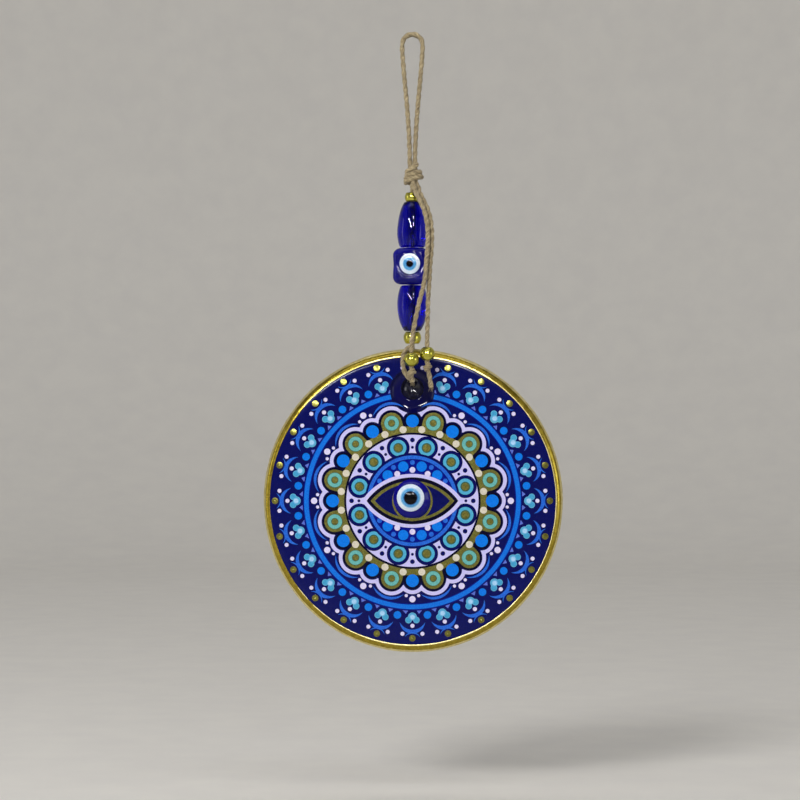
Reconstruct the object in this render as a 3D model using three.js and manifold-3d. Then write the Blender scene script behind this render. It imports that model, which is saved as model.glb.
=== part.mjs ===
// An evil eye ornament: a gilded glass disc with a printed mandala and a raised glass eye, hung from a
// doubled hemp cord that is threaded with blue glass beads and gilt beads and ends in two beaded tails.
// Millimetres. +Z is up, +X is to the right, and the ornament's front faces -Y. The origin is the point
// where a nail bears, under the crown of the hanging loop.
import * as THREE from "three";
import { RoundedBoxGeometry } from "three/addons/geometries/RoundedBoxGeometry.js";
import { mergeVertices } from "three/addons/utils/BufferGeometryUtils.js";
import Module from "manifold-3d";

// Driving dimensions

const clearance = 0.3; // between pieces that touch on the real ornament
const cordDiameter = 1.8;
const strandSpacing = 2.1; // between the centres of two strands that lie side by side

const nailToKnot = 50;
const loopCrownRadius = 4;
const knotHeight = 9;
const knotRadius = 3.9;
const knotEndRadius = 3;
const hingeGap = 0.6; // room for a cord's end to turn under the knot

const beadBoreRadius = 2.25; // takes both strands of the cord
const countersink = 0.35; // round the ends of a gilt bead's bore
const upperGoldDiameter = 6.2;
const upperGoldDrop = 13.6; // from the top of the knot to the middle of the bead
const lowerGoldDiameter = 7;
const ovalRadius = 6;
const upperOval = { length: 18, widestAt: 12.2, topRadius: 3.2, bottomRadius: 5 };
const lowerOval = { length: 18, widestAt: 7.5, topRadius: 4.6, bottomRadius: 3.2 };
const cubeWidth = 14.2;
const cubeHeight = 14.4;
const cubeCornerRadius = 3;
const cubeTurn = THREE.MathUtils.degToRad(-9); // how the cube sits on its cord
const cubeEyeRise = 0.8; // the eyes sit a little above the middle of each face
const cubeEyeLayers = [
  { name: "white", radius: 4.1, from: 0.3, to: 0.65 },
  { name: "iris", radius: 3, from: 0.95, to: 1.2 },
  { name: "pupil", radius: 1.45, from: 1.5, to: 1.75 },
];

const discRadius = 60;
const discThickness = 7;
const discDrop = 2.1; // from the lowest bead to the top edge of the disc
const glassFront = -3; // the glass stands back by the thickness of the print
const gildingThickness = 0.5;
const printThickness = 0.2;
const boreRadius = 2;
const boreHeight = 46.9; // above the middle of the disc
const bowlRadius = 4.6; // the bore opens into a bowl, and the bowl lies in a shallow dish
const bowlDepth = 4.2;
const bowlHeight = 44.3;
const dishRadius = 8.6;
const dishDepth = 1.4;
const dishHeight = 43.3;

const eyeRadius = 7.5;
const eyeDomeHeight = 2.6;
const eyePlace = { x: -0.3, z: 0.8 }; // from the middle of the disc
const eyeLayers = [
  { name: "white", radius: 5.3, from: 0.3, to: 0.6 },
  { name: "iris", radius: 3.75, from: 0.9, to: 1.2 },
  { name: "pupil", radius: 2.4, from: 1.5, to: 1.8 },
];

const endBeadDiameter = 6;
const tailSetOff = new THREE.Vector3(-1.6, -1.4, 0); // from the right tail to the left one beside it

// Heights along the strand, from the nail down

const cordRadius = cordDiameter / 2;
const knotTop = -nailToKnot;
const knotBottom = knotTop - knotHeight;
const upperGoldMiddle = knotTop - upperGoldDrop;
const upperOvalTop = upperGoldMiddle - ballHalfHeight(upperGoldDiameter, beadBoreRadius) - clearance;
const cubeTop = upperOvalTop - upperOval.length - clearance;
const lowerOvalTop = cubeTop - cubeHeight - clearance;
const lowerGoldTop = lowerOvalTop - lowerOval.length - clearance;
const lowerGoldMiddle = lowerGoldTop - ballHalfHeight(lowerGoldDiameter, beadBoreRadius);
const lowerGoldBottom = lowerGoldMiddle - ballHalfHeight(lowerGoldDiameter, beadBoreRadius);
const discTop = lowerGoldBottom - discDrop;
const discMiddle = discTop - discRadius;
const boreMiddle = discMiddle + boreHeight;
const loopBearing = boreMiddle + boreRadius - cordRadius - clearance;

// Half the height of a ball bead, whose countersunk bore cuts its ends flat
function ballHalfHeight(diameter, bore) {
  return Math.sqrt((diameter / 2) ** 2 - (bore + countersink) ** 2);
}

// Materials

function finish(colour, roughness, metalness = 0) {
  return new THREE.MeshStandardMaterial({ color: colour, roughness, metalness });
}

const hemp = () => finish(0xb9a57d, 0.9);
const gold = () => finish(0xc2ab3c, 0.22, 1);
const cobaltGlass = () => finish(0x05058a, 0.08);
const printInk = () => finish(0x050f5f, 0.15);
const eyeFinish = {
  white: () => finish(0xe4effb, 0.12),
  iris: () => finish(0x3c96d7, 0.12),
  pupil: () => finish(0x04040a, 0.08),
};

// Shapes

const wasm = await Module();
wasm.setup();

// A closed mesh as a solid that can be cut
function solidOf(geometry) {
  const bare = geometry.clone();
  bare.deleteAttribute("normal");
  bare.deleteAttribute("uv");
  const merged = mergeVertices(bare, 1e-4);
  return new wasm.Manifold(
    new wasm.Mesh({
      numProp: 3,
      vertProperties: new Float32Array(merged.attributes.position.array),
      triVerts: new Uint32Array(merged.index.array),
    }),
  );
}

function geometryOf(solid) {
  const mesh = solid.getMesh();
  const geometry = new THREE.BufferGeometry();
  geometry.setAttribute("position", new THREE.BufferAttribute(new Float32Array(mesh.vertProperties), 3));
  geometry.setIndex(new THREE.BufferAttribute(new Uint32Array(mesh.triVerts), 1));
  geometry.computeVertexNormals();
  return geometry;
}

function cut(geometry, ...cutters) {
  return geometryOf(cutters.reduce((rest, cutter) => rest.subtract(solidOf(cutter)), solidOf(geometry)));
}

// A solid of revolution about Z, from [radius, z] points that run up its outside
function turned(outline, sides) {
  const points = outline.map(([radius, z]) => new THREE.Vector2(radius, z));
  return new THREE.LatheGeometry(points, sides).rotateX(Math.PI / 2);
}

// The same about Y, from [radius, distance in front of the disc's middle plane] points
function turnedFacingFront(outline, sides) {
  return turned(outline, sides).rotateX(Math.PI / 2);
}

function rodAlongY(radius, from, to, sides) {
  const rod = new THREE.CylinderGeometry(radius, radius, to - from, sides);
  return rod.translate(0, (from + to) / 2, 0);
}

// Points on a circular arc, as [radius, z] pairs
function arc(centre, radius, fromAngle, toAngle, steps) {
  return Array.from({ length: steps + 1 }, (_, step) => {
    const angle = fromAngle + ((toAngle - fromAngle) * step) / steps;
    return [centre[0] + radius * Math.cos(angle), centre[1] + radius * Math.sin(angle)];
  });
}

// A round cord along a smooth curve
function cordAlong(points, stepLength = 2.5 * cordDiameter, sides = 8) {
  const curve = new THREE.CatmullRomCurve3(points);
  const section = Array.from({ length: sides }, (_, side) => {
    const angle = (side / sides) * 2 * Math.PI;
    return new THREE.Vector2(cordRadius * Math.cos(angle), cordRadius * Math.sin(angle));
  });
  const steps = Math.max(1, Math.round(curve.getLength() / stepLength));
  return new THREE.ExtrudeGeometry(new THREE.Shape(section), { steps, extrudePath: curve });
}

function at(x, y, z) {
  return new THREE.Vector3(x, y, z);
}

const ornament = new THREE.Group();

function add(name, geometry, material, parent = ornament) {
  const mesh = new THREE.Mesh(geometry, material);
  mesh.name = name;
  parent.add(mesh);
  return mesh;
}

// Hanging loop: two strands side by side, each from the knot up over the nail and back

function hangingStrand(y) {
  const crownMiddle = cordRadius - loopCrownRadius;
  const side = [
    [strandSpacing / 2, knotTop + 0.35],
    [1.1, -45],
    [1.4, -38],
    [2.1, -28],
    [3.1, -17],
    [3.85, -8],
  ];
  const crown = arc([0, crownMiddle], loopCrownRadius, 0, Math.PI, 6);
  const left = side.map(([x, z]) => [-x, z]).reverse();
  return [...side, ...crown, ...left].map(([x, z]) => at(x, y, z));
}

add("hanging_loop_front", cordAlong(hangingStrand(-strandSpacing / 2), 3), hemp());
add("hanging_loop_rear", cordAlong(hangingStrand(strandSpacing / 2), 3), hemp());

// Main knot, at its outer shape

const knotOutline = [
  [0, knotBottom],
  [knotEndRadius, knotBottom],
  [knotRadius, knotBottom + 0.3 * knotHeight],
  [knotRadius, knotTop - 0.3 * knotHeight],
  [knotEndRadius, knotTop],
  [0, knotTop],
];
add("main_knot", turned(knotOutline, 20), hemp());

// The cord through the beads: a front strand and a rear strand

const coreTop = knotBottom - hingeGap;
const coreBottom = lowerGoldBottom + hingeGap;
for (const [place, y] of [["front", -strandSpacing / 2], ["rear", strandSpacing / 2]]) {
  const strand = cordAlong([at(0, y, coreTop), at(0, y, coreBottom)], coreTop - coreBottom);
  add(`core_cord_${place}`, strand, hemp());
}

// Beads on the strand

function ballBead(diameter, bore, sides = 20) {
  const half = ballHalfHeight(diameter, bore);
  const lowest = Math.atan2(-half, bore + countersink);
  const outside = arc([0, 0], diameter / 2, lowest, -lowest, 8);
  const inside = [[bore, half - countersink], [bore, countersink - half]];
  return turned([...outside, ...inside, outside[0]], sides);
}

// A drawn oval bead, widest nearer one end, from z = 0 down
function ovalBead({ length, widestAt, topRadius, bottomRadius }, sides = 24) {
  const steps = 10;
  const outside = Array.from({ length: steps + 1 }, (_, step) => {
    const fromTop = length * (1 - step / steps);
    const above = fromTop < widestAt;
    const endRadius = above ? topRadius : bottomRadius;
    const reach = above ? widestAt : length - widestAt;
    const stretch = (fromTop - widestAt) / reach;
    const fall = 1 - (endRadius / ovalRadius) ** 2;
    return [ovalRadius * Math.sqrt(1 - fall * stretch ** 2), -fromTop];
  });
  return turned([...outside, [beadBoreRadius, 0], [beadBoreRadius, -length], outside[0]], sides);
}

add("upper_gold_bead", ballBead(upperGoldDiameter, beadBoreRadius), gold()).position.z = upperGoldMiddle;
add("upper_oval_bead", ovalBead(upperOval), cobaltGlass()).position.z = upperOvalTop;
add("lower_oval_bead", ovalBead(lowerOval), cobaltGlass()).position.z = lowerOvalTop;
add("lower_gold_bead", ballBead(lowerGoldDiameter, beadBoreRadius), gold()).position.z = lowerGoldMiddle;

// Cube bead, with a layered glass eye on each of its four sides

const cube = new THREE.Group();
cube.position.z = cubeTop - cubeHeight / 2;
cube.rotation.z = cubeTurn;
ornament.add(cube);
const cubeBlock = new RoundedBoxGeometry(cubeWidth, cubeWidth, cubeHeight, 3, cubeCornerRadius);
const cubeBore = rodAlongY(beadBoreRadius, -cubeHeight, cubeHeight, 20).rotateX(Math.PI / 2);
add("cube_bead", cut(cubeBlock, cubeBore), cobaltGlass(), cube);

for (const [side, turns] of [["front", 0], ["right", 1], ["back", 2], ["left", 3]]) {
  const face = new THREE.Group();
  face.rotation.z = (turns * Math.PI) / 2;
  cube.add(face);
  for (const layer of cubeEyeLayers) {
    const outer = -cubeWidth / 2 - layer.to;
    const inner = -cubeWidth / 2 - layer.from;
    const dot = rodAlongY(layer.radius, outer, inner, 18);
    add(`cube_${side}_${layer.name}`, dot, eyeFinish[layer.name](), face).position.z = cubeEyeRise;
  }
}

// Disc loop: from the lowest bead down the front of the disc, through its hole and up the back

const rimSection = discThickness / 2;
const rimMiddle = discTop - rimSection;
const loopStandOff = rimSection + cordRadius + clearance + 0.1;

function overRim(degrees, x, side) {
  const angle = THREE.MathUtils.degToRad(degrees);
  return at(x, side * loopStandOff * Math.sin(angle), rimMiddle + loopStandOff * Math.cos(angle));
}

const loopStart = lowerGoldBottom - hingeGap;
const discLoopRoute = [
  at(0, -strandSpacing / 2, loopStart),
  overRim(38, -1.7, -1),
  overRim(62, -3, -1),
  overRim(90, -3.8, -1),
  at(-3.8, -loopStandOff, rimMiddle - 2.5),
  at(-2.7, -loopStandOff, loopBearing + 2.3),
  at(-0.7, -4.2, loopBearing + 0.3),
  at(0, -1.8, loopBearing),
  at(0, 2.4, loopBearing),
  at(0, 4.6, loopBearing + 0.3),
  at(0, 5.4, loopBearing + 2),
  at(0, loopStandOff, rimMiddle - 2.5),
  overRim(90, 0, 1),
  overRim(62, 0, 1),
  overRim(36, 0, 1),
  at(0, strandSpacing / 2, loopStart),
];
add("disc_loop", cordAlong(discLoopRoute, 0.75 * cordDiameter), hemp());

// Disc: glass body, gilding round its edge, printed face and a layered glass eye

const disc = new THREE.Group();
disc.position.z = discMiddle;
ornament.add(disc);

const faceEdge = discRadius - rimSection; // where the flat face ends and the round edge begins
const glassStep = faceEdge - clearance;
const glassEdgeRadius = rimSection - gildingThickness - clearance;
const glassOutline = [
  [0, -rimSection],
  [glassStep, -rimSection],
  ...arc([faceEdge - clearance, 0], glassEdgeRadius, -Math.PI / 2, Math.PI / 2, 8),
  [glassStep, -glassFront],
  [0, -glassFront],
];

// What a hollow in the glass face takes away, from [share of the radius, share of the depth] points
function hollow(radius, depth, shares, height, sides) {
  const floor = shares.map(([out, down]) => [out * radius, -glassFront - down * depth]);
  const outline = [...floor, [radius, discThickness], [0, discThickness]];
  return turnedFacingFront(outline, sides).translate(0, 0, height);
}

const dishShares = [[0, 1], [0.35, 0.88], [0.7, 0.5], [1, 0]];
const bowlShares = [[0, 1], [0.35, 0.96], [0.65, 0.83], [0.87, 0.62], [1, 0.33]];
const discCutters = [
  hollow(dishRadius, dishDepth, dishShares, dishHeight, 32),
  hollow(bowlRadius, bowlDepth, bowlShares, bowlHeight, 24),
  rodAlongY(boreRadius, -discThickness, discThickness, 20).translate(0, 0, boreHeight),
];
add("glass_disc", cut(turnedFacingFront(glassOutline, 64), ...discCutters), cobaltGlass(), disc);

const rimOutside = arc([faceEdge, 0], rimSection, -Math.PI / 2, Math.PI / 2, 8);
const rimInside = arc([faceEdge, 0], rimSection - gildingThickness, Math.PI / 2, -Math.PI / 2, 6);
const rimOutline = [...rimOutside, ...rimInside, rimOutside[0]];
add("gilded_rim", turnedFacingFront(rimOutline, 64), gold(), disc);

const printBack = glassFront - clearance;
const printShape = new THREE.Shape().absarc(0, 0, faceEdge - clearance, 0, 2 * Math.PI);
printShape.holes.push(new THREE.Path().absarc(0, dishHeight, dishRadius + clearance, 0, 2 * Math.PI));
const printSheet = new THREE.ExtrudeGeometry(printShape, {
  depth: printThickness,
  bevelEnabled: false,
  curveSegments: 48,
});
add("printed_face", printSheet.rotateX(Math.PI / 2).translate(0, printBack, 0), printInk(), disc);

const eye = new THREE.Group();
eye.position.set(eyePlace.x, printBack - printThickness - clearance, eyePlace.z);
disc.add(eye);

const domeRadius = (eyeRadius ** 2 + eyeDomeHeight ** 2) / (2 * eyeDomeHeight);
const domeMiddle = eyeDomeHeight - domeRadius;

// Part of a sphere round the dome's middle, from the rim at rimRadius in to the axis
function domeArc(radius, rimRadius, steps) {
  return arc([0, domeMiddle], radius, Math.acos(rimRadius / radius), Math.PI / 2, steps);
}

add("centre_eye_glass", turnedFacingFront([[0, 0], ...domeArc(domeRadius, eyeRadius, 6)], 28), cobaltGlass(), eye);
for (const layer of eyeLayers) {
  const under = domeArc(domeRadius + layer.from, layer.radius, 3).reverse();
  const over = domeArc(domeRadius + layer.to, layer.radius, 3);
  const lens = turnedFacingFront([...under, ...over], 24);
  add(`centre_eye_${layer.name}`, lens, eyeFinish[layer.name](), eye);
}

// Tails: they leave the knot side by side, lean out over the beads and part at the foot of the cube

const forkHeight = lowerOvalTop;
const forkGap = 0.3; // from the fork to the end of each stretch of cord
const tailTop = knotBottom - 0.7;
const tailFront = -10.3; // in front of everything that the cube sweeps as it turns
const leftFront = tailFront + tailSetOff.y;
const rightUpperRoute = [
  at(2.4, -1.9, tailTop),
  at(2.8, -3.3, -61.7),
  at(4.4, -5.3, -65.2),
  at(6.1, -6.5, -69.2),
  at(7.2, -7.9, -73.6),
  at(7.6, -9.2, -78.2),
  at(7.5, tailFront, -84),
  at(7, tailFront, -90),
  at(6.7, tailFront, -95),
  at(6.5, tailFront, forkHeight + forkGap),
];
const rightLowerRoute = [
  at(6.5, tailFront, forkHeight - forkGap),
  at(6.2, tailFront, -103),
  at(5.9, tailFront, -112.6),
  at(5.75, tailFront, -120),
  at(5.75, tailFront, -129.4),
];
const leftLowerRoute = [
  at(4.4, leftFront, forkHeight - forkGap),
  at(3.5, leftFront, -102.3),
  at(2.3, leftFront, -107),
  at(1.1, leftFront, -112.6),
  at(0.1, leftFront, -118.3),
  at(-0.4, leftFront, -123.4),
  at(-0.4, leftFront, -131.6),
];
const leftUpperRoute = rightUpperRoute.slice(0, -2).map((point) => point.clone().add(tailSetOff));
leftUpperRoute.push(at(5, leftFront, -95), at(4.4, leftFront, forkHeight + forkGap));

function stopperKnot(width, height) {
  const outline = [
    [0, -height / 2],
    [0.35 * width, -height / 2],
    [0.5 * width, -0.1 * height],
    [0.42 * width, 0.35 * height],
    [0.25 * width, height / 2],
    [0, height / 2],
  ];
  return turned(outline, 14);
}

const tails = [
  {
    side: "left",
    upper: leftUpperRoute,
    lower: leftLowerRoute,
    beadMiddle: at(-0.4, leftFront, -128.1),
    knot: { width: 4.2, height: 3, middle: at(-0.4, leftFront, -133.4) },
    tip: [at(-0.4, leftFront, -135.4), at(-0.1, leftFront, -137)],
  },
  {
    side: "right",
    upper: rightUpperRoute,
    lower: rightLowerRoute,
    beadMiddle: at(5.75, tailFront, -125.8),
    knot: { width: 3.8, height: 2.8, middle: at(5.9, tailFront, -131.1) },
    tip: [at(6.3, tailFront, -133), at(6.8, tailFront, -135.5), at(7.3, tailFront, -139)],
  },
];

const endBeadBore = cordRadius + clearance;
for (const { side, upper, lower, beadMiddle, knot, tip } of tails) {
  add(`${side}_tail_upper`, cordAlong(upper), hemp());
  add(`${side}_tail_cord`, cordAlong(lower), hemp());
  add(`${side}_end_bead`, ballBead(endBeadDiameter, endBeadBore), gold()).position.copy(beadMiddle);
  add(`${side}_stopper_knot`, stopperKnot(knot.width, knot.height), hemp()).position.copy(knot.middle);
  add(`${side}_tail_tip`, cordAlong(tip, cordDiameter), hemp());
}

export default ornament;
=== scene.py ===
import math
import random

import bmesh
import bpy
from mathutils import Matrix, Vector, noise


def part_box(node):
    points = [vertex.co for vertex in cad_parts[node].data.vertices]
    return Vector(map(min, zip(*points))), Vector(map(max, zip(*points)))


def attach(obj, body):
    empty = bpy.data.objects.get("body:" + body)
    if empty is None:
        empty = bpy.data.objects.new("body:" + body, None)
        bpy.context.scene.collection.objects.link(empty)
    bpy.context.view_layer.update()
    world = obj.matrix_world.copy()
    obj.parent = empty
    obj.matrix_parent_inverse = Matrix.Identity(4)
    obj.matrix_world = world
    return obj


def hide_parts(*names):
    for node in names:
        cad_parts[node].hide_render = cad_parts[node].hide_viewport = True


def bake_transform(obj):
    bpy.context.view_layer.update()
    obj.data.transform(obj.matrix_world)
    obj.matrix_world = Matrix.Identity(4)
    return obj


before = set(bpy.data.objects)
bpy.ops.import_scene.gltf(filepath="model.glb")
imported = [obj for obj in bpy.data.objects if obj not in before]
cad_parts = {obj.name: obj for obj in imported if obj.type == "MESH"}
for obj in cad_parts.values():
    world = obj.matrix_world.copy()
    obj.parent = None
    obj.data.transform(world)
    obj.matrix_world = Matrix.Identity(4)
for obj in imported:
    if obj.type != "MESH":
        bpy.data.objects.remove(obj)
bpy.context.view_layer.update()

MM = 0.001

# Shapes are worked out in millimetres, in the CAD part's frame, and piece() turns them into metres.


# ------------ camera

CAMERA_DISTANCE = 0.95
VIEW_MIDDLE = Vector((-0.0049, 0, -0.1439))
VIEW_WIDTH = 0.3168

camera = bpy.data.objects.new("camera", bpy.data.cameras.new("camera"))
bpy.context.scene.collection.objects.link(camera)
camera.location = VIEW_MIDDLE + Vector((0, -CAMERA_DISTANCE, 0))
camera.rotation_euler = (math.pi / 2, 0, 0)
camera.data.sensor_width = 36
camera.data.lens = camera.data.sensor_width * CAMERA_DISTANCE / VIEW_WIDTH
bpy.context.scene.camera = camera


# ------------ heights, from the CAD nodes

def bottom(node):
    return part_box(node)[0].z / MM


def top(node):
    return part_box(node)[1].z / MM


def middle_height(node):
    return (bottom(node) + top(node)) / 2


KNOT_BOTTOM = bottom("main_knot")
UPPER_GOLD_MIDDLE = middle_height("upper_gold_bead")
UPPER_OVAL_TOP = top("upper_oval_bead")
CUBE_TOP = top("cube_bead")
LOWER_OVAL_TOP = top("lower_oval_bead")
LOWER_GOLD_MIDDLE = middle_height("lower_gold_bead")
DISC_MIDDLE = middle_height("gilded_rim")


# ------------ materials

def linear(code):
    """A six-digit colour code as linear light."""
    parts = [int(code[i : i + 2], 16) / 255 for i in (0, 2, 4)]
    light = [c / 12.92 if c <= 0.04045 else ((c + 0.055) / 1.055) ** 2.4 for c in parts]
    return (*light, 1)


MOTTLE_FROM, MOTTLE_TO = 0.32, 0.68  # the values of the noise that the colours are spread over
ROUGHNESS_GRAIN = 2.3  # how much coarser the roughness is than the mottle


def material(name, colours, grain, roughness, bump, *, along_fibre=False, detail=3.0, **settings):
    """A finish whose colours mottle at the grain's size, whose roughness wanders between two values, and
    whose surface has bumps of (size, height). Settings are other inputs of the shader."""
    made = bpy.data.materials.new(name)
    made.use_nodes = True
    nodes, links = made.node_tree.nodes, made.node_tree.links
    shader = nodes["Principled BSDF"]
    if along_fibre:
        place = nodes.new("ShaderNodeAttribute")
        place.attribute_name = "fibre"
        where, unit = place.outputs["Vector"], 1.0
    else:
        place = nodes.new("ShaderNodeTexCoord")
        where, unit = place.outputs["Object"], MM

    def mottle(size, depth):
        texture = nodes.new("ShaderNodeTexNoise")
        texture.inputs["Scale"].default_value = 1 / (size * unit)
        texture.inputs["Detail"].default_value = depth
        links.new(where, texture.inputs["Vector"])
        return texture.outputs["Fac"]

    ramp = nodes.new("ShaderNodeValToRGB")
    elements = ramp.color_ramp.elements
    while len(elements) < len(colours):
        elements.new(0.5)
    for i, colour in enumerate(colours):
        elements[i].position = MOTTLE_FROM + (MOTTLE_TO - MOTTLE_FROM) * i / max(1, len(colours) - 1)
        elements[i].color = linear(colour)
    links.new(mottle(grain, detail), ramp.inputs["Fac"])
    links.new(ramp.outputs["Color"], shader.inputs["Base Color"])

    spread = nodes.new("ShaderNodeMapRange")
    spread.inputs["From Min"].default_value = 0.3
    spread.inputs["From Max"].default_value = 0.7
    spread.inputs["To Min"].default_value, spread.inputs["To Max"].default_value = roughness
    links.new(mottle(grain * ROUGHNESS_GRAIN, 2.0), spread.inputs["Value"])
    links.new(spread.outputs["Result"], shader.inputs["Roughness"])

    relief = nodes.new("ShaderNodeBump")
    relief.inputs["Distance"].default_value = bump[1] * MM
    links.new(mottle(bump[0], detail), relief.inputs["Height"])
    links.new(relief.outputs["Normal"], shader.inputs["Normal"])
    for socket, value in settings.items():
        shader.inputs[socket.replace("_", " ").title().replace("Ior", "IOR")].default_value = value
    return made


HEMP = {"along_fibre": True, "sheen_weight": 0.25}
GILT = {"metallic": 1.0, "specular_tint": (1.0, 0.97, 0.78, 1)}
CLEAR = {"transmission_weight": 1.0, "specular_tint": (0.4, 0.4, 0.55, 1)}
DOME_GLOSS = {"transmission_weight": 0.3, "specular_ior_level": 0.25, "specular_tint": (0.6, 0.6, 0.8, 1)}
CUBE_GLOSS = {"specular_ior_level": 0.22}
DISC_GLOSS = {"specular_ior_level": 0.2}
BOWL_GLOSS = {"specular_ior_level": 0.4}
PUPIL_GLOSS = {"specular_ior_level": 0.15}
GLAZE = {"specular_ior_level": 0.12}

hemp = material("hemp", ["594a32", "958563", "c9b994"], 0.24, (0.75, 0.95), (0.16, 0.16), **HEMP)
gilt_brass = material("gilt_brass", ["aaa43e", "beb850", "cfca68"], 2.2, (0.1, 0.2), (0.5, 0.006), **GILT)
gilding = material("gilding", ["94812a", "a08c34", "ac983c"], 1.6, (0.2, 0.34), (0.7, 0.02), **GILT)
# The pale gilding is a lighter copy of the gilding that paints highlights: it stands for reflections of the
# lights and backdrop on the rim.
painted_glint_gilt = material("painted_glint_gilding", ["d2c282", "e2d496", "ecdfa8"], 1.6, (0.3, 0.42), (0.7, 0.02), **GILT)
bead_glass = material("bead_glass", ["0200b4", "0400d2"], 5.0, (0.01, 0.04), (3.5, 0.02), **CLEAR)
cube_glass = material("cube_glass", ["04045c", "080880"], 6.0, (0.02, 0.07), (3.0, 0.02), **CUBE_GLOSS)
dome_glass = material("dome_glass", ["060684", "120a98"], 4.0, (0.02, 0.05), (3.0, 0.02), **DOME_GLOSS)
# The bowl round the bore gets dark grey glass instead of cobalt: painted shade, standing for the shadowed
# background seen through the hole.
painted_shade_bowl_glass = material("painted_shade_bowl_glass", ["121220", "1e1e36"], 1.6, (0.06, 0.14), (2.2, 0.02), **BOWL_GLOSS)
disc_glass = material("disc_glass", ["04043c", "06064e"], 14.0, (0.04, 0.09), (5.0, 0.03), **DISC_GLOSS)


def ink(name, colours, roughness=(0.1, 0.17), **settings):
    """An ink of the print under its thin glaze."""
    return material(f"print_{name}", colours, 0.5, roughness, (2.5, 0.012), **GLAZE, **settings)


INK_COLOURS = {
    "navy": ["050a52", "070f62"],
    "dark": ["02021c", "04042e"],
    "royal": ["02107c", "041694"],
    "mid_blue": ["1c58cc", "2f74e6"],
    "azure": ["0672e4", "1080f2"],
    "azure_ring": ["0c68da", "1a7cec"],
    "sky": ["46a4d0", "5cb8de"],
    "turquoise": ["5eacac", "76c0ba"],
    "olive": ["3a5c4c", "466a50"],
    "lavender": ["c4c0f8", "d4d0ff"],
    "white": ["d4cef6", "e6e0ff"],
    "cream": ["d0c8b8", "e2dccc"],
    "pale": ["9cccf4", "b4dcff"],
    "cyan": ["3c98cc", "4cacd8"],
    "cyan_edge": ["62b0e0", "76bee8"],
    "violet": ["5468d2", "6a80e0"],
}
INKS = {name: ink(name, colours) for name, colours in INK_COLOURS.items()}
INKS["gold"] = ink("gold", ["66642f", "747138", "827f42"], (0.22, 0.3), metallic=0.9)
EYES = {
    "white": material("eye_white", ["ccdff6", "e6f0fc"], 1.5, (0.06, 0.12), (1.5, 0.01)),
    "halo": material("eye_halo", ["8cc4ea", "a4d4f2"], 1.5, (0.06, 0.12), (1.5, 0.01)),
    "iris": material("eye_blue", ["3c8ccc", "5aa8e0"], 0.9, (0.06, 0.12), (1.2, 0.01)),
    "depth": material("eye_deep_blue", ["1f5a9c", "2f72b4"], 0.9, (0.06, 0.12), (1.2, 0.01)),
    "pupil": material("eye_black", ["020206", "04050c"], 1.0, (0.03, 0.06), (1.2, 0.01), **PUPIL_GLOSS),
}
floor_paint = material("floor_paint", ["dcdad7", "e0deda"], 25.0, (0.6, 0.75), (3.0, 0.02))


# ------------ mesh building

def piece(name, parts, finish, smooth=True):
    """One object from parts, each (vertices, faces, fibre coordinates or None), in millimetres."""
    mesh = bpy.data.meshes.new(name)
    vertices, faces, fibres = [], [], []
    for part_vertices, part_faces, part_fibres in parts:
        start = len(vertices)
        vertices += [Vector(v) * MM for v in part_vertices]
        faces += [tuple(start + i for i in face) for face in part_faces]
        fibres += part_fibres or [(0, 0, 0)] * len(part_vertices)
    mesh.from_pydata(vertices, [], faces)
    if any(part[2] for part in parts):
        attribute = mesh.attributes.new("fibre", "FLOAT_VECTOR", "POINT")
        attribute.data.foreach_set("vector", [c for f in fibres for c in f])
    shape = bmesh.new()
    shape.from_mesh(mesh)
    bmesh.ops.remove_doubles(shape, verts=shape.verts, dist=1e-9)
    bmesh.ops.recalc_face_normals(shape, faces=shape.faces)
    shape.to_mesh(mesh)
    shape.free()
    mesh.materials.append(finish)
    if smooth:
        mesh.shade_smooth()
    else:
        mesh.shade_flat()
    made = bpy.data.objects.new(name, mesh)
    bpy.context.scene.collection.objects.link(made)
    return made


def skin(rings, loop=False, fibres=None):
    """Rings of points joined by quads, closed into a torus or by end caps."""
    count, around = len(rings), len(rings[0])
    faces = []
    for i in range(count if loop else count - 1):
        a, b = i * around, ((i + 1) % count) * around
        faces += [(a + j, a + (j + 1) % around, b + (j + 1) % around, b + j) for j in range(around)]
    if not loop:
        last = (count - 1) * around
        faces += [tuple(reversed(range(around))), tuple(range(last, last + around))]
    return [p for ring in rings for p in ring], faces, fibres


WOBBLE_SIZE = 6.25


def lathe(outline, sides, middle=(0, 0, 0), wobble=0.0):
    """A closed outline of (radius, height) points turned about an upright axis, a little out of true."""
    rings = []
    for k in range(sides):
        angle = 2 * math.pi * k / sides
        out = Vector((math.cos(angle), math.sin(angle), 0))
        ring = []
        for radius, height in outline:
            place = out * radius + Vector((0, 0, height))
            push = wobble * noise.noise(place / WOBBLE_SIZE + Vector(middle))
            ring.append(place + out * push + Vector(middle))
        rings.append(ring)
    return skin(rings, loop=True)


def arc(centre, radius, start, end, steps):
    """Points on a circle, angles in degrees."""
    turns = [math.radians(start + (end - start) * i / steps) for i in range(steps + 1)]
    return [(centre[0] + radius * math.cos(t), centre[1] + radius * math.sin(t)) for t in turns]


# ------------ hemp twine

STEPS_BETWEEN_POINTS = 24


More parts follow.
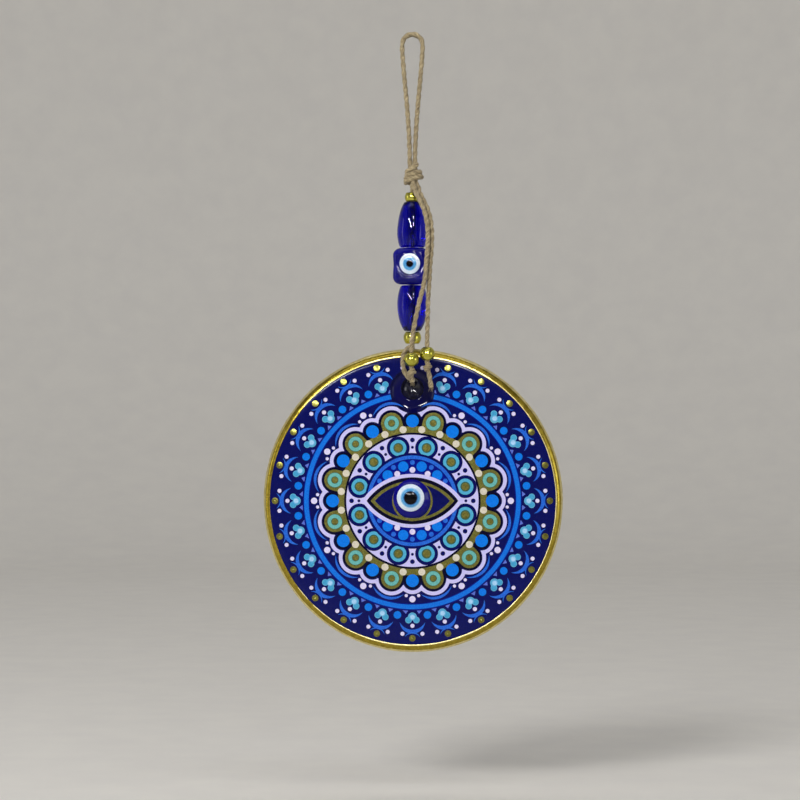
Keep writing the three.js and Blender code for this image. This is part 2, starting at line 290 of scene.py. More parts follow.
def smooth_line(points, step):
    """Points a step apart on the centripetal Catmull-Rom curve through the given points."""
    points = [Vector(p) for p in points]
    points = [2 * points[0] - points[1], *points, 2 * points[-1] - points[-2]]
    fine = []
    for p0, p1, p2, p3 in zip(points, points[1:], points[2:], points[3:]):
        t1 = math.sqrt((p1 - p0).length)
        t2 = t1 + math.sqrt((p2 - p1).length)
        t3 = t2 + math.sqrt((p3 - p2).length)
        for i in range(STEPS_BETWEEN_POINTS):
            t = t1 + (t2 - t1) * i / STEPS_BETWEEN_POINTS
            share = (t - t1) / (t2 - t1)
            a1 = p0.lerp(p1, t / t1)
            a2 = p1.lerp(p2, share)
            a3 = p2.lerp(p3, (t - t2) / (t3 - t2))
            b1 = a1.lerp(a2, t / t2)
            b2 = a2.lerp(a3, (t - t1) / (t3 - t1))
            fine.append(b1.lerp(b2, share))
    fine.append(points[-2])
    lengths = [0.0]
    for a, b in zip(fine, fine[1:]):
        lengths.append(lengths[-1] + (b - a).length)
    count = max(2, round(lengths[-1] / step))
    line, k = [], 0
    for i in range(count + 1):
        along = lengths[-1] * i / count
        while k < len(fine) - 2 and lengths[k + 1] < along:
            k += 1
        share = (along - lengths[k]) / max(1e-9, lengths[k + 1] - lengths[k])
        line.append(fine[k].lerp(fine[k + 1], min(1.0, share)))
    return line


def carried_frames(line):
    """(tangent, side, other side) at each point, turning as little as it can along the line."""
    tangents = [(b - a).normalized() for a, b in zip([line[0], *line], [*line[1:], line[-1]])]
    tangents[0] = (line[1] - line[0]).normalized()
    tangents[-1] = (line[-1] - line[-2]).normalized()
    side = tangents[0].orthogonal().normalized()
    frames = []
    for before, tangent in zip([tangents[0], *tangents], tangents):
        side = before.rotation_difference(tangent) @ side
        frames.append((tangent, side, tangent.cross(side)))
    return frames


PLY_RADIUS, PLY_OFFSET = 0.77, 0.26  # of each of the two plies, in cord radii
TWIST_PITCH = 6.4
SECTION_SIDES = 18
TWIST_UNEVEN, THICKNESS_UNEVEN, FIBRE_RELIEF = 0.5, 0.09, 0.035
FIBRE_THICKNESS, FRAY_THICKNESS, FRAY_COUNT = 0.028, 0.09, 26


def fibre_strand(base, way, length, thickness, rng):
    """One loose fibre, a thin three-sided taper that curls away."""
    curl = Vector([rng.uniform(-1, 1) for _ in range(3)]) * 0.5
    rings, place, heading = [], Vector(base), way.normalized()
    for share in (1.0, 0.8, 0.55, 0.3):
        side = heading.orthogonal().normalized()
        other = heading.cross(side)
        turns = [2 * math.pi * k / 3 for k in range(3)]
        around = [side * math.cos(t) + other * math.sin(t) for t in turns]
        rings.append([place + out * thickness * share for out in around])
        place = place + heading * length / 3
        heading = (heading + curl / 3).normalized()
    tone = rng.uniform(0, 5)
    return *skin(rings)[:2], [(tone, tone, i * 0.1) for i in range(12)]


def twine(route, radius=0.94, seed=1, fuzz=1.1, frayed=False, step=0.32):
    """Two-ply twine along a route, with loose fibres; fuzz is how many stand off each millimetre."""
    rng = random.Random(seed)
    line = smooth_line(route, step)
    frames = carried_frames(line)
    rings, fibres, parts = [], [], []
    along, start_turn = 0.0, rng.uniform(0, math.tau)
    for i, (place, (_, side, other)) in enumerate(zip(line, frames)):
        along += (place - line[i - 1]).length if i else 0
        uneven = TWIST_UNEVEN * noise.noise((along * 0.12, seed, 0))
        turn = start_turn + math.tau * along / TWIST_PITCH + uneven
        thickness = radius * (1 + THICKNESS_UNEVEN * noise.noise((along * 0.35, seed, 3)))
        ring = []
        for k in range(SECTION_SIDES):
            angle = math.tau * k / SECTION_SIDES
            lobe = abs(math.cos(angle - turn))
            reach = PLY_OFFSET * lobe + math.sqrt(PLY_RADIUS**2 - PLY_OFFSET**2 * (1 - lobe**2))
            on_ply = (3 * math.cos(angle - turn), 3 * math.sin(angle - turn), along * 0.5 + seed)
            strand = FIBRE_RELIEF * noise.noise(on_ply)
            out = side * math.cos(angle) + other * math.sin(angle)
            ring.append(place + out * thickness * (reach + strand))
            fibres.append((math.cos(angle - turn) + seed, math.sin(angle - turn), along * 0.16))
        rings.append(ring)
    parts.append(skin(rings, fibres=fibres))
    for _ in range(round(fuzz * along)):
        i = rng.randrange(len(line))
        angle = rng.uniform(0, math.tau)
        out = frames[i][1] * math.cos(angle) + frames[i][2] * math.sin(angle)
        way = out * rng.uniform(0.25, 0.9) + frames[i][0] * rng.choice((-1, 1)) * rng.uniform(0.5, 1.2)
        base = line[i] + out * radius * 0.7
        parts.append(fibre_strand(base, way, rng.uniform(0.7, 2.0), FIBRE_THICKNESS, rng))
    for _ in range(FRAY_COUNT if frayed else 0):
        angle, out = rng.uniform(0, math.tau), rng.uniform(0, 0.75) * radius
        tangent, side, other = frames[-1]
        off = (side * math.cos(angle) + other * math.sin(angle)) * out
        way = tangent + off * rng.uniform(0.1, 0.7)
        base = line[-1] + off - tangent * 0.3
        parts.append(fibre_strand(base, way, rng.uniform(0.9, 2.2), FRAY_THICKNESS, rng))
    return parts, line


# ------------ cords, on the CAD part's routes

STRAND_SIDE = 1.05
LOOP_START, RIM_MIDDLE, LOOP_BEARING = -122.174, -127.174, -135.974
LOOP_STAND_OFF = 4.8


def hanging_strand(y):
    """One strand of the hanging loop, from inside the knot up over the nail and back."""
    side = [(0.9, -52), (1.0, -50.4), (1.1, -45), (1.4, -38), (2.1, -28), (3.1, -17), (3.85, -8)]
    crown = arc((0, -3.1), 4, 0, 180, 6)
    left = [(-x, z) for x, z in reversed(side)]
    return [(x, y, z) for x, z in (*side, *crown, *left)]


for place, y in (("front", -STRAND_SIDE), ("rear", STRAND_SIDE)):
    parts, line = twine(hanging_strand(y), seed=11 if y < 0 else 12)
    strand = piece(f"hanging_loop_{place}_twine", parts, hemp)
    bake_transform(strand)
    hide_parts(f"hanging_loop_{place}")


RIGHT_TAIL = [
    (0.6, -1.2, -57.0), (1.7, -1.7, -58.5), (2.4, -1.9, -59.7), (2.8, -3.3, -61.7), (4.4, -5.3, -65.2),
    (6.1, -6.5, -69.2), (7.2, -7.9, -73.6), (7.6, -9.2, -78.2), (7.5, -10.3, -84), (7, -10.3, -90),
    (6.7, -10.3, -95), (6.5, -10.3, -98.6), (6.2, -10.3, -103), (5.9, -10.3, -112.6), (5.75, -10.3, -120),
    (5.75, -10.3, -129.4), (5.95, -10.3, -131.4), (6.3, -10.3, -133), (6.8, -10.3, -135.5),
    (7.3, -10.3, -139),
]
LEFT_TAIL = [
    (0.0, -1.9, -57.2), (0.5, -2.8, -58.6), (0.8, -3.3, -59.7), (1.2, -4.7, -61.7), (2.8, -6.7, -65.2),
    (4.5, -7.9, -69.2), (5.6, -9.3, -73.6), (6.0, -10.6, -78.2), (5.9, -11.7, -84), (5.4, -11.7, -90),
    (5.0, -11.7, -95), (4.4, -11.7, -98.6), (3.5, -11.7, -102.3), (2.3, -11.7, -107), (1.1, -11.7, -112.6),
    (0.1, -11.7, -118.3), (-0.4, -11.7, -123.4), (-0.4, -11.7, -131.6), (-0.4, -11.7, -135.4),
    (-0.1, -11.7, -137),
]
TAILS = {
    # route, middle of the end bead, middle of the stopper knot, reach of the knot
    "left": (LEFT_TAIL, (-0.4, -11.7, -128.1), (-0.4, -11.7, -133.2), 1.1),
    "right": (RIGHT_TAIL, (5.75, -10.3, -125.8), (5.9, -10.3, -131.0), 1.0),
}


def ball_outline(radius, bore, lip):
    """A ball bead with a bore whose ends are rounded over."""
    half = math.sqrt(radius**2 - (bore + lip) ** 2)
    polar_angle = math.degrees(math.asin(half / radius))
    outside = arc((0, 0), radius, -polar_angle, polar_angle, 22)
    top_lip = arc((bore + lip, half - lip), lip, 90, 180, 4)[1:]
    bottom_lip = arc((bore + lip, lip - half), lip, 180, 270, 4)[:-1]
    return [*outside, *top_lip, *bottom_lip]


def coil(middle, coil_radius, height, turns, tilt):
    """The route of a tied stopper knot: round and down its own cord."""
    x, y, z = middle
    points = []
    for i in range(round(turns * 8) + 1):
        share = i / round(turns * 8)
        angle = math.tau * turns * share
        reach = coil_radius * (0.55 + 0.45 * min(1, 4 * share, 4 * (1 - share)))
        down = height * (0.5 - share) + tilt * math.cos(angle)
        points.append((x + reach * math.cos(angle), y - reach * math.sin(angle), z + down))
    return points


for side, (route, bead_middle, knot_middle, knot_reach) in TAILS.items():
    parts, line = twine(route, seed=21 if side == "left" else 22, frayed=True)
    tail = piece(f"{side}_tail_twine", parts, hemp)
    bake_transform(tail)
    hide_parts(f"{side}_tail_upper", f"{side}_tail_cord", f"{side}_tail_tip")
    ball = lathe(ball_outline(3, 1.2, 0.3), 64, bead_middle)
    bead = piece(f"{side}_end_bead_gilt", [ball], gilt_brass)
    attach(bead, f"{side}_bead")
    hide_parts(f"{side}_end_bead")
    knot_route = coil(knot_middle, knot_reach, 1.5, 1.7, 0.35)
    knot_parts = twine(knot_route, 0.8, 31 if side == "left" else 32, 1.6)[0]
    knot = piece(f"{side}_stopper_twine", knot_parts, hemp)
    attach(knot, f"{side}_tail")
    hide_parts(f"{side}_stopper_knot")


def over_rim(degrees, x, side):
    """A point where the loop passes over the disc's edge, in front of it (-1) or behind it (1)."""
    angle = math.radians(degrees)
    return (x, side * LOOP_STAND_OFF * math.sin(angle), RIM_MIDDLE + LOOP_STAND_OFF * math.cos(angle))


DISC_LOOP = [
    (0, -STRAND_SIDE, -118), (0, -STRAND_SIDE, LOOP_START),
    over_rim(38, -1.7, -1), over_rim(62, -3, -1), over_rim(90, -3.8, -1),
    (-3.8, -LOOP_STAND_OFF, RIM_MIDDLE - 2.5), (-2.7, -LOOP_STAND_OFF, LOOP_BEARING + 2.3),
    (-0.7, -4.2, LOOP_BEARING + 0.3), (0, -1.8, LOOP_BEARING), (0, 2.4, LOOP_BEARING),
    (0, 4.6, LOOP_BEARING + 0.3), (0, 5.4, LOOP_BEARING + 2), (0, LOOP_STAND_OFF, RIM_MIDDLE - 2.5),
    over_rim(90, 0, 1), over_rim(62, 0, 1), over_rim(36, 0, 1), (0, STRAND_SIDE, LOOP_START),
    (0, STRAND_SIDE, -118),
]
parts, line = twine(DISC_LOOP, seed=41, step=0.28)
disc_loop = piece("disc_loop_twine", parts, hemp)
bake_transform(disc_loop)
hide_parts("disc_loop")

for place, y in (("front", -STRAND_SIDE), ("rear", STRAND_SIDE)):
    route = [(-0.2, y * 0.6, -56.8), (0, y, KNOT_BOTTOM - 0.6), (0, y, -90), (0, y, -121)]
    strand = piece(f"core_{place}_twine", twine(route, seed=51 if y < 0 else 52, fuzz=0.3)[0], hemp)
    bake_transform(strand)
    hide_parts(f"core_cord_{place}")


KNOT_SHIFT = 0.4
KNOT_WRAPS = [
    # degrees round from the right-hand side by the front, reach, height of the strand that wraps the knot
    (60, 2.0, -51.2), (100, 2.7, -52.2), (140, 2.7, -53.4), (180, 2.5, -54.6), (225, 2.6, -54.5),
    (270, 2.7, -54.2), (315, 2.7, -53.9), (360, 2.6, -53.8), (405, 2.7, -53.9), (450, 2.8, -54.4),
    (495, 2.8, -55.2), (540, 2.75, -56.1), (585, 2.6, -56.0), (630, 2.6, -55.6), (675, 2.8, -55.4),
    (720, 3.1, -55.4), (765, 3.0, -55.7), (810, 2.85, -56.3), (855, 2.95, -57.0), (900, 3.0, -57.7),
    (950, 2.4, -57.6), (1010, 1.4, -57.2),
]
knot_line = [(0.9, -0.9, -50.0)]
for degrees, reach, height in KNOT_WRAPS:
    angle = math.radians(degrees)
    knot_line.append((KNOT_SHIFT + reach * math.cos(angle), -reach * math.sin(angle), height))
knot_core = [(0.2, 0, -52), (0.3, 0, -55), (0.2, 0, -57.9)]
knot_parts = twine(knot_line, 1.14, 61, 0.8, step=0.24)[0]
knot_parts += twine(knot_core, 2.0, 63, 0)[0]
main_knot = piece("main_knot_twine", knot_parts, hemp)
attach(main_knot, "knot")
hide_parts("main_knot")


# ------------ beads on the strand

BEAD_BORE = 2.25
OVAL_RADIUS = 6
OVAL_STEPS = 48
OVAL_CORNER, OVAL_LIP = 1.4, 0.45
GLASS_UNEVEN = 0.12


def oval_end(reach, end_radius):
    """(radius, distance from the widest place) from there to one end's bore, with fire-polished corners."""
    corner = min(OVAL_CORNER, (end_radius - BEAD_BORE) / 2)
    fall = 1 - (end_radius / OVAL_RADIUS) ** 2
    side = []
    for i in range(OVAL_STEPS):
        stretch = i / OVAL_STEPS
        radius = OVAL_RADIUS * math.sqrt(1 - fall * stretch**2)
        lean = math.atan(OVAL_RADIUS**2 * fall * stretch / (reach * radius))
        if stretch * reach + corner * (1 - math.sin(lean)) > reach:
            break
        side.append((radius, stretch * reach))
    centre = (side[-1][0] - corner * math.cos(lean), reach - corner)
    lip = min(OVAL_LIP, corner)
    side += arc(centre, corner, math.degrees(lean), 90, 7)
    return side + arc((BEAD_BORE + lip, reach - lip), lip, 90, 180, 5)


def oval_outline(length, widest_at, top_radius, bottom_radius):
    """A drawn oval bead, from z = 0 down."""
    top = [(r, along - widest_at) for r, along in oval_end(widest_at, top_radius)]
    bottom = [(r, -along - widest_at) for r, along in oval_end(length - widest_at, bottom_radius)]
    return [*reversed(bottom), *top[1:]]


upper_oval = oval_outline(18, 12.2, 3.2, 5)
lower_oval = oval_outline(18, 7.5, 4.6, 3.2)
STRAND_BEADS = [
    ("upper_gold", lathe(ball_outline(3.0, BEAD_BORE, 0.2), 64, (0, 0, UPPER_GOLD_MIDDLE)), gilt_brass),
    ("upper_oval", lathe(upper_oval, 72, (0, 0, UPPER_OVAL_TOP), GLASS_UNEVEN), bead_glass),
    ("lower_oval", lathe(lower_oval, 72, (0, 0, LOWER_OVAL_TOP), GLASS_UNEVEN), bead_glass),
    ("lower_gold", lathe(ball_outline(3.5, BEAD_BORE, 0.35), 64, (0, 0, LOWER_GOLD_MIDDLE)), gilt_brass),
]
for name, part, finish in STRAND_BEADS:
    bead = piece(f"{name}_bead_fine", [part], finish)
    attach(bead, name)
    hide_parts(f"{name}_bead")


# ------------ cube bead

CUBE_WIDTH, CUBE_HEIGHT, CUBE_CORNER = 14.2, 14.4, 3.0
CUBE_TURN = math.radians(-9)
CUBE_MIDDLE = Vector((0, 0, CUBE_TOP - CUBE_HEIGHT / 2))
CUBE_EYE_RISE = 0.8
DIP_DEPTH, DIP_FLOOR_RADIUS, DIP_RADIUS = 0.4, 4.6, 5.9


def step_between(low, high, value):
    """0 up to the low value, 1 from the high one, and smooth between them."""
    share = min(1.0, max(0.0, (value - low) / (high - low)))
    return share * share * (3 - 2 * share)


def cube_point(p):
    """A point of the unit cube's surface on the rounded bead, with a shallow dip round each side's eye."""
    half = Vector((CUBE_WIDTH / 2, CUBE_WIDTH / 2, CUBE_HEIGHT / 2))
    full = Vector([c * h for c, h in zip(p, half)])
    inner = Vector([max(CUBE_CORNER - h, min(h - CUBE_CORNER, c)) for c, h in zip(full, half)])
    place = inner + (full - inner).normalized() * CUBE_CORNER
    for axis in (0, 1):
        if abs(p[axis]) > 0.999:
            away = math.hypot(place[1 - axis], place[2] - CUBE_EYE_RISE)
            sunk = DIP_DEPTH * (1 - step_between(DIP_FLOOR_RADIUS, DIP_RADIUS, away))
            place[axis] -= math.copysign(sunk, p[axis])
    return place + place.normalized() * GLASS_UNEVEN * noise.noise(place * 0.2)


cube_shape = bmesh.new()
bmesh.ops.create_cube(cube_shape, size=2)
bmesh.ops.subdivide_edges(cube_shape, edges=cube_shape.edges, cuts=47, use_grid_fill=True)
cube_turn = Matrix.Rotation(CUBE_TURN, 3, "Z")
cube_vertices = [CUBE_MIDDLE + cube_turn @ cube_point(v.co) for v in cube_shape.verts]
cube_faces = [tuple(v.index for v in f.verts) for f in cube_shape.faces]
cube_shape.free()
cube_block = piece("cube_bead_fine", [(cube_vertices, cube_faces, None)], cube_glass)


def cut_away(target, cutter):
    """Takes one object's shape out of another, and removes the cutter."""
    modifier = target.modifiers.new("cut", "BOOLEAN")
    modifier.operation, modifier.solver, modifier.object = "DIFFERENCE", "EXACT", cutter
    graph = bpy.context.evaluated_depsgraph_get()
    mesh = bpy.data.meshes.new_from_object(target.evaluated_get(graph), depsgraph=graph)
    target.modifiers.clear()
    target.data = mesh
    bpy.data.objects.remove(cutter)


def rod(radius, low, high, middle, sides=64):
    """A rod along Z between two heights."""
    return lathe([(0, low), (radius, low), (radius, high), (0, high)], sides, middle)


cut_away(cube_block, piece("bore_cutter", [rod(BEAD_BORE, -9, 9, CUBE_MIDDLE)], cube_glass))
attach(cube_block, "cube")
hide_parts("cube_bead")


DAB_SQUARENESS, DAB_UNEVEN, DAB_ROOT = 9, 0.012, 0.25
NO_LIFT = 0.0001  # for a dab whose front is the given surface itself


def dab(middle, radius, lift, surface, sides=56, steps=12):
    """A round dab of glass fused on a surface that gives y at (x, z). It faces -Y."""
    front, back = [], []
    for i in range(steps + 1):
        share = math.sin(0.5 * math.pi * i / steps)
        rise = lift * math.sqrt(max(0.0, 1 - share**DAB_SQUARENESS))
        ring_front, ring_back = [], []
        for k in range(sides):
            angle = math.tau * k / sides
            uneven = DAB_UNEVEN * noise.noise((math.cos(angle) * 2, math.sin(angle) * 2, radius))
            reach = radius * share * (1 + uneven)
            x, z = middle[0] + reach * math.cos(angle), middle[1] + reach * math.sin(angle)
            ring_front.append((x, surface(x, z) - rise, z))
            ring_back.append((x, surface(x, z) + DAB_ROOT, z))
        front.append(ring_front)
        back.append(ring_back)
    return skin([*reversed(back), *front][::-1])


LAYER_SLOTS = {"white": "eye_white", "iris": "eye_blue", "pupil": "eye_black"}
CUBE_EYE_LAYERS = [
    # layer, radius, lift
    ("white", 4.1, 0.22), ("halo", 3.05, 0.3), ("iris", 2.75, 0.36), ("depth", 1.85, 0.42),
    ("pupil", 1.5, 0.5),
]


def cube_side(x, z):
    return DIP_DEPTH - CUBE_WIDTH / 2


for turns, side in enumerate(("front", "right", "back", "left")):
    turn = Matrix.Rotation(CUBE_TURN + turns * math.pi / 2, 3, "Z")
    for layer, radius, lift in CUBE_EYE_LAYERS:
        vertices, faces, _ = dab((0, CUBE_EYE_RISE), radius, lift, cube_side)
        vertices = [CUBE_MIDDLE + turn @ Vector(v) for v in vertices]
        dot = piece(f"cube_{side}_{layer}_dab", [(vertices, faces, None)], EYES[layer])
        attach(dot, "cube")
        if layer in LAYER_SLOTS:
            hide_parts(f"cube_{side}_{layer}")


# ------------ disc: glass, gilding and print

DISC_RADIUS, RIM_SECTION = 60, 3.5
FACE_EDGE = DISC_RADIUS - RIM_SECTION
GLASS_FRONT, GLASS_BACK, PRINT_FRONT = -3.0, 3.5, -3.5
BORE_RADIUS, BORE_HEIGHT = 2.0, 46.9
BOWL_RADIUS, BOWL_DEPTH, BOWL_HEIGHT = 4.6, 4.2, 44.3
BOWL_RIM_SHARE, BOWL_ROUNDNESS = 0.33, 0.75  # the share of its depth at its rim, and the fall to the middle
DISH_RADIUS, DISH_DEPTH, DISH_HEIGHT, DISH_FLATNESS = 8.6, 1.4, 43.3, 9
EDGE_RADIUS, EDGE_INSET = 2.7, 0.3  # of the glass under the gilding
WAIST_NARROWING, WAIST_RISE = 0.88, 0.76  # the drilled bore is narrower halfway through
BORE_ROUNDING, BACK_INSET, BACK_RIPPLE = 0.5, 0.06, 0.12
DISC_SECTORS = 288
FACE_STEPS, BACK_STEPS, BORE_STEPS = 140, 30, 10
FACE_BUNCHING = 2.5  # crowds the face's points round the bowl and the dish


def glass_face(x, z):
    """How far back the glass face stands at a point, from the disc's middle."""
    dish = DISH_DEPTH * (1 - min(1, math.hypot(x, z - DISH_HEIGHT) / DISH_RADIUS) ** DISH_FLATNESS)
    in_bowl = math.hypot(x, z - BOWL_HEIGHT) / BOWL_RADIUS
    if in_bowl >= 1:
        return GLASS_FRONT + dish
    bowl = BOWL_RIM_SHARE + (1 - BOWL_RIM_SHARE) * (1 - in_bowl**2) ** BOWL_ROUNDNESS
    return GLASS_FRONT + max(dish, BOWL_DEPTH * bowl)


NARROWER_LEFT, NARROWER_RIGHT = 1.1, 0.4
TRUE_INSIDE = 54


def cast(x, z):
    """Where a point of the disc lies on the hand-cast disc, a little narrower than it is tall."""
    narrower = NARROWER_LEFT if x < 0 else NARROWER_RIGHT
    return x * (1 - narrower / DISC_RADIUS * step_between(TRUE_INSIDE, DISC_RADIUS, math.hypot(x, z)))


def on_circle(radius, height, angle):
    """A point of a circle round a middle at (0, height), as (x, 0, z)."""
    return Vector((radius * math.cos(angle), 0, height + radius * math.sin(angle)))


def between_circles(sector, share, inner, outer):
    """A point between two circles, each (radius, height), at a share of the way out."""
    angle = math.tau * sector / DISC_SECTORS
    return on_circle(*inner, angle).lerp(on_circle(*outer, angle), share)


def disc_ring(sector):
    """The disc's outline in one sector: out over the face, round the edge, and back to the bore."""
    ring = []
    bore, edge = (BORE_RADIUS, BORE_HEIGHT), (FACE_EDGE - EDGE_INSET, 0)
    for i in range(FACE_STEPS + 1):
        p = between_circles(sector, (i / FACE_STEPS) ** FACE_BUNCHING, bore, edge)
        ring.append((p.x, glass_face(p.x, p.z) + (0.15 if i == 0 else 0), p.z))
    angle = math.tau * sector / DISC_SECTORS
    for out, y in arc((FACE_EDGE - EDGE_INSET, 0), EDGE_RADIUS, -86, 86, 12):
        ring.append((out * math.cos(angle), y, out * math.sin(angle)))
    for i in range(BACK_STEPS + 1):
        p = between_circles(sector, 1 - i / BACK_STEPS * 0.985, bore, edge)
        ripple = BACK_RIPPLE * noise.noise((p.x * 0.12, 7, p.z * 0.12))
        ripple *= 1 - step_between(45, 56, p.length)
        ring.append((p.x, GLASS_BACK - BACK_INSET + ripple, p.z))
    bore_back, bore_front = GLASS_BACK - BORE_ROUNDING, ring[0][1]
    for i in range(BORE_STEPS):
        share = i / BORE_STEPS
        waist = math.sin(math.pi * share)
        p = on_circle(BORE_RADIUS - WAIST_NARROWING * waist, BORE_HEIGHT + WAIST_RISE * waist, angle)
        ring.append((p.x, bore_back + (bore_front - bore_back) * share, p.z))
    return [Vector((cast(x, z), y, z + DISC_MIDDLE)) for x, y, z in ring]


disc_skin = skin([disc_ring(k) for k in range(DISC_SECTORS)], loop=True)
disc_body = piece("glass_disc_fine", [disc_skin], disc_glass)
disc_body.data.materials.append(painted_shade_bowl_glass)
# Faces of the bowl in front of this depth get the dark grey glass of painted shade.
BEHIND_BOWL = 1.9
for face in disc_body.data.polygons:
    x, y, z = (c / MM for c in face.center)
    if y < BEHIND_BOWL and math.hypot(x, z - DISC_MIDDLE - BOWL_HEIGHT) < BOWL_RADIUS - 0.1:
        face.material_index = 1
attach(disc_body, "disc")
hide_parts("glass_disc")


RIM_SECTORS = 320
RIM_INSIDE = 2.75
RIM_UNEVEN = 0.1
CREEP_START, CREEP_SLOPE = 0.97, 12  # where the gilding runs in over the faces, and how far


def rim_ring(sector):
    """The gilding's section: a half round over the glass edge, hand-laid and a little uneven."""
    angle = math.tau * sector / RIM_SECTORS
    c, s = math.cos(angle), math.sin(angle)
    ring = []
    for is_outside, radius, degrees in (
        (True, RIM_SECTION, range(-90, 91, 6)), (False, RIM_INSIDE, range(90, -91, -10)),
    ):
        for turn in degrees:
            t = math.radians(turn)
            uneven = RIM_UNEVEN * noise.noise((c * 6, s * 6, turn * 0.02)) if is_outside else 0
            creep = 0.35 * noise.noise((c * 9, s * 9, 4 if turn > 0 else 8))
            out = FACE_EDGE + (radius + min(0.0, uneven - 0.03)) * math.cos(t)
            out += max(0.0, abs(math.sin(t)) - CREEP_START) * CREEP_SLOPE * (0.7 - creep)
            ring.append((cast(out * c, out * s), radius * math.sin(t), out * s + DISC_MIDDLE))
    return ring


def section_turn(x, y, z):
    """How far round the gilding's section a point lies, in degrees from the disc's widest line."""
    true_x = x * DISC_RADIUS / abs(cast(math.copysign(DISC_RADIUS, x), 0))
    return math.degrees(math.atan2(abs(y), math.hypot(true_x, z - DISC_MIDDLE) - FACE_EDGE))


# Two bands round the gilding's section, at its outer edge and at its front, get the pale gilding: painted
# highlights, lighter gold where reflections of the backdrop and the lights fall.
GLINT_PAINTED_BELOW, GLINT_PAINTED_ABOVE = 40, 78  # the pale lines of the gilding, in degrees round its section
rim = piece("gilded_rim_fine", [skin([rim_ring(k) for k in range(RIM_SECTORS)], loop=True)], gilding)
rim.data.materials.append(painted_glint_gilt)
for face in rim.data.polygons:
    turn = section_turn(*(c / MM for c in face.center))
    face.material_index = int(turn < GLINT_PAINTED_BELOW or turn > GLINT_PAINTED_ABOVE)
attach(rim, "disc")
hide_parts("gilded_rim")

PRINT_EDGE, PRINT_DEPTH = 57.0, 0.46
PRINT_STEPS = 24
PRINT_HOLE = (8.75, DISH_HEIGHT)
PRINT_LIP = [(0, 0.45), (0.08, 0.25), (0.22, 0.1), (0.45, 0.02), (0.8, 0)]
PRINT_SHOULDER = [(0, 0.46), (0.08, 0.33), (0.25, 0.22), (0.6, 0.13), (1.1, 0.065), (1.9, 0.02), (2.8, 0)]


def print_ring(sector):
    """The print's section: from the lip of the dish out to the gilding, rolled over at both edges."""
    ring = []
    angle = math.tau * sector / DISC_SECTORS
    hole_radius, hole_height = PRINT_HOLE
    for out, back in PRINT_LIP:
        p = on_circle(hole_radius + out, hole_height, angle)
        ring.append((p.x, PRINT_FRONT + back, p.z))
    inner = (hole_radius + PRINT_LIP[-1][0], hole_height)
    outer = (PRINT_EDGE - PRINT_SHOULDER[-1][0], 0)
    for i in range(1, PRINT_STEPS):
        p = between_circles(sector, (i / PRINT_STEPS) ** 1.5, inner, outer)
        ring.append((p.x, PRINT_FRONT, p.z))
    for out, back in reversed(PRINT_SHOULDER):
        p = on_circle(PRINT_EDGE - out, 0, angle)
        ring.append((p.x, PRINT_FRONT + back, p.z))
    for share in (1, 0.5, 0):
        p = between_circles(sector, share, (hole_radius + 0.2, hole_height), (PRINT_EDGE - 0.3, 0))
        ring.append((p.x, PRINT_FRONT + PRINT_DEPTH, p.z))
    return [Vector((cast(x, z), y, z + DISC_MIDDLE)) for x, y, z in ring]


print_skin = skin([print_ring(k) for k in range(DISC_SECTORS)], loop=True)
print_base = piece("print_base", [print_skin], INKS["navy"])
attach(print_base, "disc")
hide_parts("printed_face")


# ------------ mandala, in (across, up) from the disc's middle

def circle(centre, radius, count=None):
    """Points round a circle, more of them on a larger one unless a count is given."""
    count = count or max(20, round(14 * math.sqrt(radius) + 10))
    turns = [math.tau * k / count for k in range(count)]
    return [(centre[0] + radius * math.cos(t), centre[1] + radius * math.sin(t)) for t in turns]


def turned(points, degrees):
    """Points drawn for the top of the disc, moved round it clockwise."""
    c, s = math.cos(math.radians(degrees)), math.sin(math.radians(degrees))
    return [(x * c + z * s, z * c - x * s) for x, z in points]


def bow(tip, peak, steps=20):
    """A circular arc from (-tip) to (+tip) through a peak on the middle line; tip is (across, up)."""
    half, rise = tip[0], abs(peak - tip[1])
    upward = math.copysign(1, peak - tip[1])
    radius = (half**2 + rise**2) / (2 * rise)
    reach = math.atan2(half, radius - rise)
    turns = [reach * (2 * i / steps - 1) for i in range(steps + 1)]
    return [(radius * math.sin(t), peak - upward * radius * (1 - math.cos(t))) for t in turns]


def crescent(tip, outer_peak, inner_peak):
    """The moon between two arcs that share their tips."""
    return bow(tip, outer_peak) + bow(tip, inner_peak)[-2:0:-1]


def union(circles, middle=(0, 0), at_least=0.0, count=720):
    """The outline round several overlapping circles, as seen from the middle."""
    outline = []
    for k in range(count):
        angle = math.tau * k / count
        way = Vector((math.sin(angle), math.cos(angle)))
        reach = at_least
        for (x, z), radius in circles:
            to = Vector((x - middle[0], z - middle[1]))
            along = to.dot(way)
            across = to.length_squared - along**2
            if across < radius**2 and along > 0:
                reach = max(reach, along + math.sqrt(radius**2 - across))
        outline.append((middle[0] + way.x * reach, middle[1] + way.y * reach))
    return outline


def almond(half_width, half_height, steps=40):
    """Two arcs that meet in a corner on each side."""
    upper = bow((half_width, 0), half_height, steps)
    return upper + [(-x, -z) for x, z in upper[1:-1]]


ROUND_12 = [15 + 30 * k for k in range(12)]
SPOKES_12 = [30 * k for k in range(12)]
SPOKES_24 = [15 * k for k in range(24)]
WEB_HEIGHT, LOBE_HEIGHT, DOT_HEIGHT = 21.6, 31.7, 31.5
LOBES = [turned([(0, LOBE_HEIGHT)], degrees)[0] for degrees in ROUND_12]
DOTS = [turned([(0, DOT_HEIGHT)], degrees)[0] for degrees in SPOKES_12]
FINE_COUNT = 240


def lobes_and_dots(lobe_radius, dot_radius):
    return [(centre, lobe_radius) for centre in LOBES] + [(centre, dot_radius) for centre in DOTS]


drawing = []


def draw(colour, layer, outline, hole=None):
    """Adds a shape of one ink, which may have a hole. Higher layers lie on top."""
    drawing.append((colour, layer, outline, hole))


def band(colour, layer, outer, inner):
    """Draws a ring round the disc's middle."""
    draw(colour, layer, circle((0, 0), outer, FINE_COUNT), circle((0, 0), inner, FINE_COUNT))


